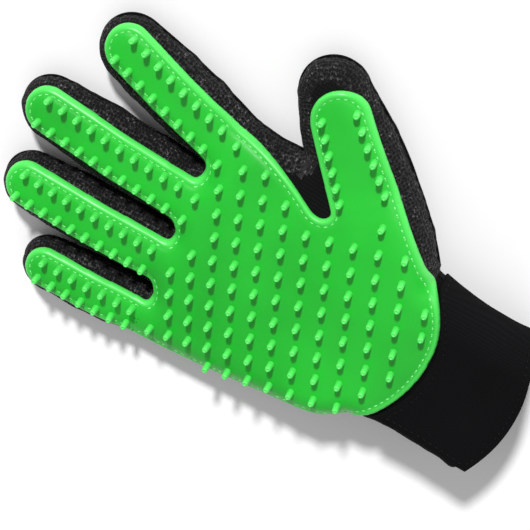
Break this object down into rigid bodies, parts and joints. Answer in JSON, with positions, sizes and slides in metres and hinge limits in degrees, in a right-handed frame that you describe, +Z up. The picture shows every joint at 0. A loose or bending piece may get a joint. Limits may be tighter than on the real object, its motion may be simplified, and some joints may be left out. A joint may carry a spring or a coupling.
{
  "type": "grooming glove",
  "caption": "Five-finger right-hand grooming glove: moulded rubber pad with small nubs sewn over the palm and fingers, knit back, mesh sides and a strap-closed wrist cuff.",
  "frame": {"origin": "centre of the footprint, on the surface that the back of the glove lies on", "axes": "+Z up out of the palm, +Y from the wrist to the fingertips, +X towards the thumb"},
  "size_m": [0.1636, 0.2336, 0.0395],
  "materials": {
    "silicone_green": "satin, slightly translucent moulded pad",
    "thread_green": "twisted thread",
    "thread_black": "twisted thread",
    "knit_back": "fine knit",
    "mesh_side": "coarse open mesh",
    "lining_palm": "fine knit",
    "cuff_elastic": "plain stretch fabric",
    "binding_black": "folded tape",
    "loop_black": "loop pile",
    "hook_black": "hook field"
  },
  "bodies": {
    "hand": {"cuff_back": "cuff_elastic", "cuff_binding": "binding_black", "cuff_front": "cuff_elastic", "finger_webs": "mesh_side", "loop_patch": "loop_black", "palm_back": "knit_back", "palm_face": "lining_palm", "palm_pad": "silicone_green", "palm_pad_stitching": "thread_green", "palm_side_radial": "mesh_side", "palm_side_ulnar": "mesh_side", "thumb_gusset": "mesh_side", "wrist_seam": "binding_black"},
    "little": {"little_back": "knit_back", "little_face": "lining_palm", "little_pad": "silicone_green", "little_pad_stitching": "thread_green", "little_side_radial": "mesh_side", "little_side_ulnar": "mesh_side"},
    "ring": {"ring_back": "knit_back", "ring_face": "lining_palm", "ring_pad": "silicone_green", "ring_pad_stitching": "thread_green", "ring_side_radial": "mesh_side", "ring_side_ulnar": "mesh_side"},
    "middle": {"middle_back": "knit_back", "middle_face": "lining_palm", "middle_pad": "silicone_green", "middle_pad_stitching": "thread_green", "middle_side_radial": "mesh_side", "middle_side_ulnar": "mesh_side"},
    "index": {"index_back": "knit_back", "index_face": "lining_palm", "index_pad": "silicone_green", "index_pad_stitching": "thread_green", "index_side_radial": "mesh_side", "index_side_ulnar": "mesh_side"},
    "thumb": {"thumb_back": "knit_back", "thumb_face": "lining_palm", "thumb_pad": "silicone_green", "thumb_pad_stitching": "thread_green", "thumb_side_radial": "mesh_side", "thumb_side_ulnar": "mesh_side"},
    "strap_flap": {"hook_patch": "hook_black", "strap": "cuff_elastic", "strap_stitching": "thread_black"}
  },
  "joints": [
    {"name": "little_curl", "type": "hinge", "parent": "hand", "child": "little", "pos_m": [-0.0666, 0.02871, 0.02334], "axis": [0.9979, 0.0645, 0], "range_deg": [0, 55]},
    {"name": "ring_curl", "type": "hinge", "parent": "hand", "child": "ring", "pos_m": [-0.03649, 0.03331, 0.02278], "axis": [0.9992, 0.0401, 0], "range_deg": [0, 55]},
    {"name": "middle_curl", "type": "hinge", "parent": "hand", "child": "middle", "pos_m": [-0.0059, 0.03681, 0.02236], "axis": [0.9997, -0.0262, 0], "range_deg": [0, 55]},
    {"name": "index_curl", "type": "hinge", "parent": "hand", "child": "index", "pos_m": [0.0238, 0.03401, 0.02298], "axis": [0.9646, -0.2639, 0], "range_deg": [0, 55]},
    {"name": "thumb_curl", "type": "hinge", "parent": "hand", "child": "thumb", "pos_m": [0.03481, -0.02799, 0.02981], "axis": [0.6923, -0.7169, 0.0827], "range_deg": [0, 55]},
    {"name": "strap_open", "type": "hinge", "parent": "hand", "child": "strap_flap", "pos_m": [0.0267, -0.09329, 0.017], "axis": [0, 1, 0], "range_deg": [0, 150]}
  ]
}
